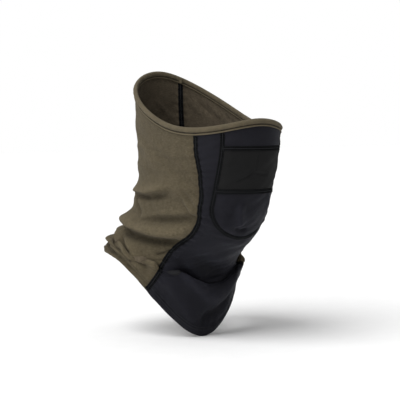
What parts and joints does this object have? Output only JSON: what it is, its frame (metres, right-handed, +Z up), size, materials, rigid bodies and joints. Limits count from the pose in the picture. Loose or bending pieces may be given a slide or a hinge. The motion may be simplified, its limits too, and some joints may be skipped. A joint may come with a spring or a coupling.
{
  "type": "neck gaiter",
  "caption": "Pull-on fleece and softshell neck gaiter that covers nose, mouth and neck, with an elastic bound rim, a breathable mouth patch and a pointed bib.",
  "frame": {"origin": "centre of the neck section, where the tube is narrowest below the chin", "axes": "+Z up along the neck, -Y the way the wearer faces, +X the wearer's left"},
  "size_m": [0.1808, 0.2448, 0.3188],
  "materials": {
    "fleece": "matte brushed olive-brown fleece",
    "softshell": "matte near-black softshell",
    "breathable_mesh": "matte dark grey perforated fabric",
    "seam_thread": "matte black flatlock thread",
    "binding_tape": "matte olive knitted tape",
    "binding_thread": "matte dark olive thread",
    "elastic": "black covered elastic"
  },
  "bodies": {
    "root": {"right_side_panel": "fleece", "left_side_panel": "fleece", "front_panel": "softshell", "nose_panel": "softshell", "mouth_patch": "breathable_mesh", "chin_panel": "softshell", "right_cheek_seam": "seam_thread", "left_cheek_seam": "seam_thread", "back_seam": "seam_thread", "insert_seam": "seam_thread", "mouth_seam_upper": "seam_thread", "mouth_seam_lower": "seam_thread", "top_binding": "binding_tape", "binding_elastic": "elastic", "binding_stitching": "binding_thread", "binding_tack": "seam_thread", "hem_stitching": "seam_thread"}
  },
  "joints": []
}
